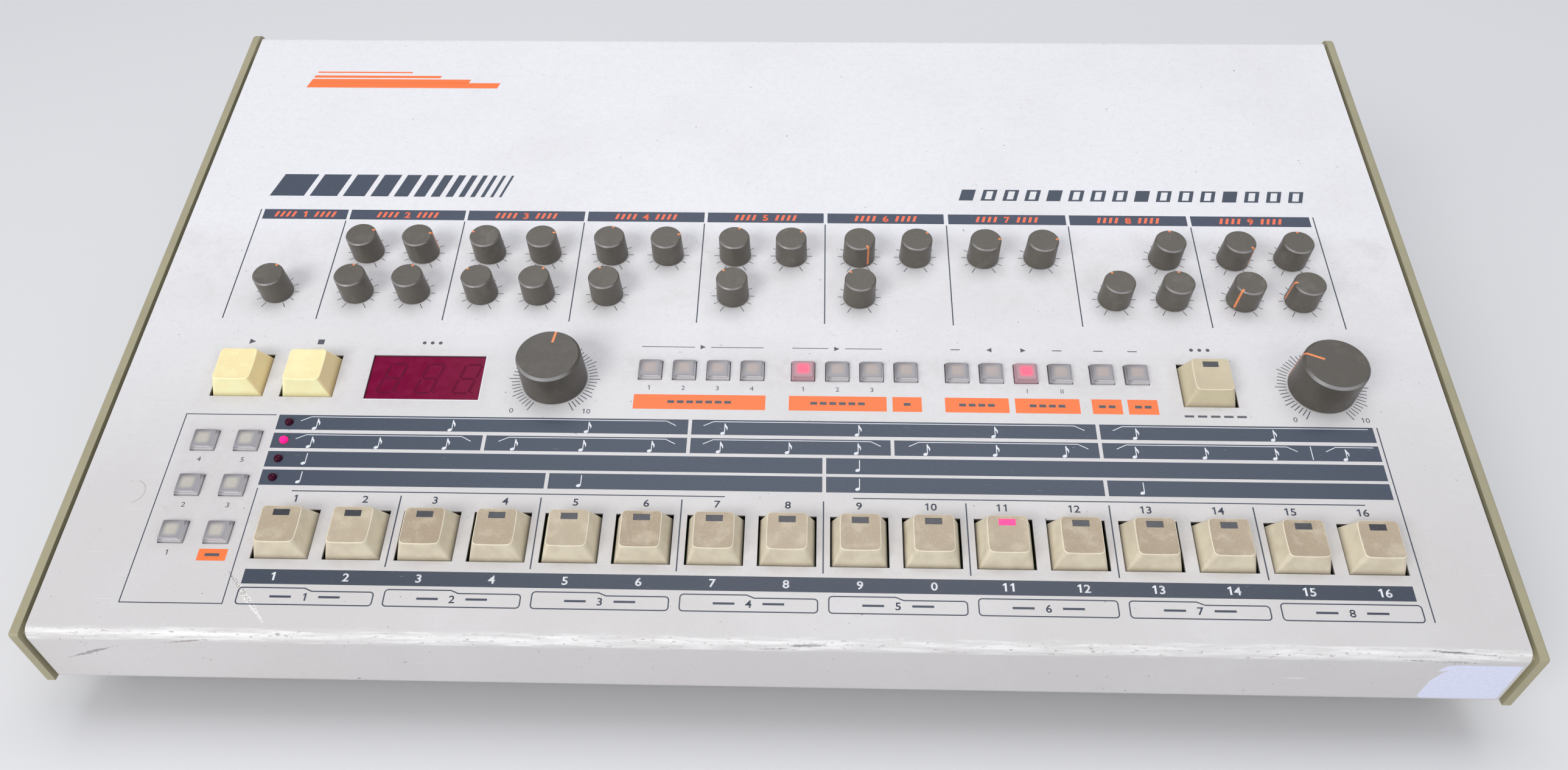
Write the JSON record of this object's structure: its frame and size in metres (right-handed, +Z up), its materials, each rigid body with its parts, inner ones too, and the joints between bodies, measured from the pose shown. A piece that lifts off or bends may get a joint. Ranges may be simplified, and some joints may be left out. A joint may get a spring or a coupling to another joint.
{
  "type": "drum machine",
  "caption": "Desktop drum machine: sloping control panel with knobs, step keys, small buttons and a display window, on a steel tray with rear sockets.",
  "frame": {"origin": "on the table, under the middle of the case: the centre of the bottom of its box", "axes": "+X along the case to the player's right, +Y to the back, +Z up"},
  "size_m": [0.486, 0.3, 0.105],
  "materials": {
    "panel_paint": "satin",
    "tray_paint": "satin",
    "cheek_plastic": "matte",
    "key_plastic": "satin",
    "command_key_plastic": "satin",
    "knob_plastic": "satin",
    "button_plastic": "satin",
    "lens_plastic": "gloss",
    "foot_rubber": "matte",
    "screw_steel": "satin",
    "board_green": "satin",
    "socket_plastic": "satin"
  },
  "bodies": {
    "case": {"top_cover": "panel_paint", "bottom_chassis": "tray_paint", "end_cheeks": "cheek_plastic", "rubber_feet": "foot_rubber", "fasteners": "screw_steel", "main_board_and_supply": "board_green", "panel_board": "board_green", "indicator_lenses": "lens_plastic", "rear_sockets": "socket_plastic"},
    "accent_knob": {"accent_knob": "knob_plastic"},
    "bass_drum_tune_knob": {"bass_drum_tune_knob": "knob_plastic"},
    "bass_drum_level_knob": {"bass_drum_level_knob": "knob_plastic"},
    "bass_drum_attack_knob": {"bass_drum_attack_knob": "knob_plastic"},
    "bass_drum_decay_knob": {"bass_drum_decay_knob": "knob_plastic"},
    "snare_tune_knob": {"snare_tune_knob": "knob_plastic"},
    "snare_level_knob": {"snare_level_knob": "knob_plastic"},
    "snare_tone_knob": {"snare_tone_knob": "knob_plastic"},
    "snare_snap_knob": {"snare_snap_knob": "knob_plastic"},
    "low_tom_tune_knob": {"low_tom_tune_knob": "knob_plastic"},
    "low_tom_level_knob": {"low_tom_level_knob": "knob_plastic"},
    "low_tom_decay_knob": {"low_tom_decay_knob": "knob_plastic"},
    "mid_tom_tune_knob": {"mid_tom_tune_knob": "knob_plastic"},
    "mid_tom_level_knob": {"mid_tom_level_knob": "knob_plastic"},
    "mid_tom_decay_knob": {"mid_tom_decay_knob": "knob_plastic"},
    "high_tom_tune_knob": {"high_tom_tune_knob": "knob_plastic"},
    "high_tom_level_knob": {"high_tom_level_knob": "knob_plastic"},
    "high_tom_decay_knob": {"high_tom_decay_knob": "knob_plastic"},
    "rim_shot_level_knob": {"rim_shot_level_knob": "knob_plastic"},
    "hand_clap_level_knob": {"hand_clap_level_knob": "knob_plastic"},
    "closed_hat_decay_knob": {"closed_hat_decay_knob": "knob_plastic"},
    "hi_hat_level_knob": {"hi_hat_level_knob": "knob_plastic"},
    "open_hat_decay_knob": {"open_hat_decay_knob": "knob_plastic"},
    "crash_level_knob": {"crash_level_knob": "knob_plastic"},
    "crash_tune_knob": {"crash_tune_knob": "knob_plastic"},
    "ride_level_knob": {"ride_level_knob": "knob_plastic"},
    "ride_tune_knob": {"ride_tune_knob": "knob_plastic"},
    "tempo_knob": {"tempo_knob": "knob_plastic"},
    "volume_knob": {"volume_knob": "knob_plastic"},
    "step_key_01": {"step_key_01": "key_plastic"},
    "step_key_02": {"step_key_02": "key_plastic"},
    "step_key_03": {"step_key_03": "key_plastic"},
    "step_key_04": {"step_key_04": "key_plastic"},
    "step_key_05": {"step_key_05": "key_plastic"},
    "step_key_06": {"step_key_06": "key_plastic"},
    "step_key_07": {"step_key_07": "key_plastic"},
    "step_key_08": {"step_key_08": "key_plastic"},
    "step_key_09": {"step_key_09": "key_plastic"},
    "step_key_10": {"step_key_10": "key_plastic"},
    "step_key_11": {"step_key_11": "key_plastic"},
    "step_key_12": {"step_key_12": "key_plastic"},
    "step_key_13": {"step_key_13": "key_plastic"},
    "step_key_14": {"step_key_14": "key_plastic"},
    "step_key_15": {"step_key_15": "key_plastic"},
    "step_key_16": {"step_key_16": "key_plastic"},
    "start_key": {"start_key": "command_key_plastic"},
    "stop_key": {"stop_key": "command_key_plastic"},
    "enter_key": {"enter_key": "key_plastic"},
    "side_buttons": {"side_buttons": "button_plastic"},
    "upper_buttons": {"upper_buttons": "button_plastic"},
    "power_switch": {"power_switch": "socket_plastic"}
  },
  "joints": [
    {"name": "accent_turn", "type": "hinge", "parent": "case", "child": "accent_knob", "pos_m": [-0.1924, -0.00541, 0.07292], "axis": [0, -0.2079, 0.9781], "range_deg": [-122, 178]},
    {"name": "bass_drum_tune_turn", "type": "hinge", "parent": "case", "child": "bass_drum_tune_knob", "pos_m": [-0.1615, 0.01513, 0.07729], "axis": [0, -0.2079, 0.9781], "range_deg": [-87, 213]},
    {"name": "bass_drum_level_turn", "type": "hinge", "parent": "case", "child": "bass_drum_level_knob", "pos_m": [-0.1397, 0.01513, 0.07729], "axis": [0, -0.2079, 0.9781], "range_deg": [-71, 229]},
    {"name": "bass_drum_attack_turn", "type": "hinge", "parent": "case", "child": "bass_drum_attack_knob", "pos_m": [-0.1615, -0.00541, 0.07292], "axis": [0, -0.2079, 0.9781], "range_deg": [-141, 159]},
    {"name": "bass_drum_decay_turn", "type": "hinge", "parent": "case", "child": "bass_drum_decay_knob", "pos_m": [-0.1397, -0.00541, 0.07292], "axis": [0, -0.2079, 0.9781], "range_deg": [-134, 166]},
    {"name": "snare_tune_turn", "type": "hinge", "parent": "case", "child": "snare_tune_knob", "pos_m": [-0.1135, 0.01513, 0.07729], "axis": [0, -0.2079, 0.9781], "range_deg": [-218, 82]},
    {"name": "snare_level_turn", "type": "hinge", "parent": "case", "child": "snare_level_knob", "pos_m": [-0.0917, 0.01513, 0.07729], "axis": [0, -0.2079, 0.9781], "range_deg": [-80, 220]},
    {"name": "snare_tone_turn", "type": "hinge", "parent": "case", "child": "snare_tone_knob", "pos_m": [-0.1135, -0.00541, 0.07292], "axis": [0, -0.2079, 0.9781], "range_deg": [-197, 103]},
    {"name": "snare_snap_turn", "type": "hinge", "parent": "case", "child": "snare_snap_knob", "pos_m": [-0.0917, -0.00541, 0.07292], "axis": [0, -0.2079, 0.9781], "range_deg": [-113, 187]},
    {"name": "low_tom_tune_turn", "type": "hinge", "parent": "case", "child": "low_tom_tune_knob", "pos_m": [-0.0655, 0.01513, 0.07729], "axis": [0, -0.2079, 0.9781], "range_deg": [-137, 163]},
    {"name": "low_tom_level_turn", "type": "hinge", "parent": "case", "child": "low_tom_level_knob", "pos_m": [-0.0437, 0.01513, 0.07729], "axis": [0, -0.2079, 0.9781], "range_deg": [-75, 225]},
    {"name": "low_tom_decay_turn", "type": "hinge", "parent": "case", "child": "low_tom_decay_knob", "pos_m": [-0.0655, -0.00541, 0.07292], "axis": [0, -0.2079, 0.9781], "range_deg": [-172, 128]},
    {"name": "mid_tom_tune_turn", "type": "hinge", "parent": "case", "child": "mid_tom_tune_knob", "pos_m": [-0.0175, 0.01513, 0.07729], "axis": [0, -0.2079, 0.9781], "range_deg": [-129, 171]},
    {"name": "mid_tom_level_turn", "type": "hinge", "parent": "case", "child": "mid_tom_level_knob", "pos_m": [0.0043, 0.01513, 0.07729], "axis": [0, -0.2079, 0.9781], "range_deg": [-100, 200]},
    {"name": "mid_tom_decay_turn", "type": "hinge", "parent": "case", "child": "mid_tom_decay_knob", "pos_m": [-0.0175, -0.00541, 0.07292], "axis": [0, -0.2079, 0.9781], "range_deg": [-190, 110]},
    {"name": "high_tom_tune_turn", "type": "hinge", "parent": "case", "child": "high_tom_tune_knob", "pos_m": [0.0305, 0.01513, 0.07729], "axis": [0, -0.2079, 0.9781], "range_deg": [-3, 297]},
    {"name": "high_tom_level_turn", "type": "hinge", "parent": "case", "child": "high_tom_level_knob", "pos_m": [0.0523, 0.01513, 0.07729], "axis": [0, -0.2079, 0.9781], "range_deg": [-99, 201]},
    {"name": "high_tom_decay_turn", "type": "hinge", "parent": "case", "child": "high_tom_decay_knob", "pos_m": [0.0305, -0.00541, 0.07292], "axis": [0, -0.2079, 0.9781], "range_deg": [-195, 105]},
    {"name": "rim_shot_level_turn", "type": "hinge", "parent": "case", "child": "rim_shot_level_knob", "pos_m": [0.0785, 0.01513, 0.07729], "axis": [0, -0.2079, 0.9781], "range_deg": [-63, 237]},
    {"name": "hand_clap_level_turn", "type": "hinge", "parent": "case", "child": "hand_clap_level_knob", "pos_m": [0.1003, 0.01513, 0.07729], "axis": [0, -0.2079, 0.9781], "range_deg": [-65, 235]},
    {"name": "closed_hat_decay_turn", "type": "hinge", "parent": "case", "child": "closed_hat_decay_knob", "pos_m": [0.1265, -0.00541, 0.07292], "axis": [0, -0.2079, 0.9781], "range_deg": [-180, 120]},
    {"name": "hi_hat_level_turn", "type": "hinge", "parent": "case", "child": "hi_hat_level_knob", "pos_m": [0.1483, 0.01513, 0.07729], "axis": [0, -0.2079, 0.9781], "range_deg": [-149, 151]},
    {"name": "open_hat_decay_turn", "type": "hinge", "parent": "case", "child": "open_hat_decay_knob", "pos_m": [0.1483, -0.00541, 0.07292], "axis": [0, -0.2079, 0.9781], "range_deg": [-145, 155]},
    {"name": "crash_level_turn", "type": "hinge", "parent": "case", "child": "crash_level_knob", "pos_m": [0.1745, 0.01513, 0.07729], "axis": [0, -0.2079, 0.9781], "range_deg": [-20, 280]},
    {"name": "crash_tune_turn", "type": "hinge", "parent": "case", "child": "crash_tune_knob", "pos_m": [0.1745, -0.00541, 0.07292], "axis": [0, -0.2079, 0.9781], "range_deg": [-287, 13]},
    {"name": "ride_level_turn", "type": "hinge", "parent": "case", "child": "ride_level_knob", "pos_m": [0.1963, 0.01513, 0.07729], "axis": [0, -0.2079, 0.9781], "range_deg": [-146, 154]},
    {"name": "ride_tune_turn", "type": "hinge", "parent": "case", "child": "ride_tune_knob", "pos_m": [0.1963, -0.00541, 0.07292], "axis": [0, -0.2079, 0.9781], "range_deg": [-237, 63]},
    {"name": "tempo_turn", "type": "hinge", "parent": "case", "child": "tempo_knob", "pos_m": [-0.0804, -0.04561, 0.06438], "axis": [0, -0.2079, 0.9781], "range_deg": [-141, 159]},
    {"name": "volume_turn", "type": "hinge", "parent": "case", "child": "volume_knob", "pos_m": [0.1953, -0.04561, 0.06438], "axis": [0, -0.2079, 0.9781], "range_deg": [-216, 84]},
    {"name": "step_key_01_press", "type": "slide", "parent": "case", "child": "step_key_01", "axis": [0, 0.2079, -0.9781], "range_m": [0, 0.0035], "stiffness_N_per_m": 200, "springref_m": -0.0015},
    {"name": "step_key_02_press", "type": "slide", "parent": "case", "child": "step_key_02", "axis": [0, 0.2079, -0.9781], "range_m": [0, 0.0035], "stiffness_N_per_m": 200, "springref_m": -0.0015},
    {"name": "step_key_03_press", "type": "slide", "parent": "case", "child": "step_key_03", "axis": [0, 0.2079, -0.9781], "range_m": [0, 0.0035], "stiffness_N_per_m": 200, "springref_m": -0.0015},
    {"name": "step_key_04_press", "type": "slide", "parent": "case", "child": "step_key_04", "axis": [0, 0.2079, -0.9781], "range_m": [0, 0.0035], "stiffness_N_per_m": 200, "springref_m": -0.0015},
    {"name": "step_key_05_press", "type": "slide", "parent": "case", "child": "step_key_05", "axis": [0, 0.2079, -0.9781], "range_m": [0, 0.0035], "stiffness_N_per_m": 200, "springref_m": -0.0015},
    {"name": "step_key_06_press", "type": "slide", "parent": "case", "child": "step_key_06", "axis": [0, 0.2079, -0.9781], "range_m": [0, 0.0035], "stiffness_N_per_m": 200, "springref_m": -0.0015},
    {"name": "step_key_07_press", "type": "slide", "parent": "case", "child": "step_key_07", "axis": [0, 0.2079, -0.9781], "range_m": [0, 0.0035], "stiffness_N_per_m": 200, "springref_m": -0.0015},
    {"name": "step_key_08_press", "type": "slide", "parent": "case", "child": "step_key_08", "axis": [0, 0.2079, -0.9781], "range_m": [0, 0.0035], "stiffness_N_per_m": 200, "springref_m": -0.0015},
    {"name": "step_key_09_press", "type": "slide", "parent": "case", "child": "step_key_09", "axis": [0, 0.2079, -0.9781], "range_m": [0, 0.0035], "stiffness_N_per_m": 200, "springref_m": -0.0015},
    {"name": "step_key_10_press", "type": "slide", "parent": "case", "child": "step_key_10", "axis": [0, 0.2079, -0.9781], "range_m": [0, 0.0035], "stiffness_N_per_m": 200, "springref_m": -0.0015},
    {"name": "step_key_11_press", "type": "slide", "parent": "case", "child": "step_key_11", "axis": [0, 0.2079, -0.9781], "range_m": [0, 0.0035], "stiffness_N_per_m": 200, "springref_m": -0.0015},
    {"name": "step_key_12_press", "type": "slide", "parent": "case", "child": "step_key_12", "axis": [0, 0.2079, -0.9781], "range_m": [0, 0.0035], "stiffness_N_per_m": 200, "springref_m": -0.0015},
    {"name": "step_key_13_press", "type": "slide", "parent": "case", "child": "step_key_13", "axis": [0, 0.2079, -0.9781], "range_m": [0, 0.0035], "stiffness_N_per_m": 200, "springref_m": -0.0015},
    {"name": "step_key_14_press", "type": "slide", "parent": "case", "child": "step_key_14", "axis": [0, 0.2079, -0.9781], "range_m": [0, 0.0035], "stiffness_N_per_m": 200, "springref_m": -0.0015},
    {"name": "step_key_15_press", "type": "slide", "parent": "case", "child": "step_key_15", "axis": [0, 0.2079, -0.9781], "range_m": [0, 0.0035], "stiffness_N_per_m": 200, "springref_m": -0.0015},
    {"name": "step_key_16_press", "type": "slide", "parent": "case", "child": "step_key_16", "axis": [0, 0.2079, -0.9781], "range_m": [0, 0.0035], "stiffness_N_per_m": 200, "springref_m": -0.0015},
    {"name": "start_key_press", "type": "slide", "parent": "case", "child": "start_key", "axis": [0, 0.2079, -0.9781], "range_m": [0, 0.0035], "stiffness_N_per_m": 200, "springref_m": -0.0015},
    {"name": "stop_key_press", "type": "slide", "parent": "case", "child": "stop_key", "axis": [0, 0.2079, -0.9781], "range_m": [0, 0.0035], "stiffness_N_per_m": 200, "springref_m": -0.0015},
    {"name": "enter_key_press", "type": "slide", "parent": "case", "child": "enter_key", "axis": [0, 0.2079, -0.9781], "range_m": [0, 0.0035], "stiffness_N_per_m": 200, "springref_m": -0.0015},
    {"name": "side_buttons_press", "type": "slide", "parent": "case", "child": "side_buttons", "axis": [0, 0.2079, -0.9781], "range_m": [0, 0.0008], "stiffness_N_per_m": 1500, "springref_m": -0.0004},
    {"name": "upper_buttons_press", "type": "slide", "parent": "case", "child": "upper_buttons", "axis": [0, 0.2079, -0.9781], "range_m": [0, 0.0008], "stiffness_N_per_m": 1500, "springref_m": -0.0004},
    {"name": "power_switch_rock", "type": "hinge", "parent": "case", "child": "power_switch", "pos_m": [0.185, 0.1427, 0.066], "axis": [1, 0, 0], "range_deg": [-18, 0]}
  ]
}
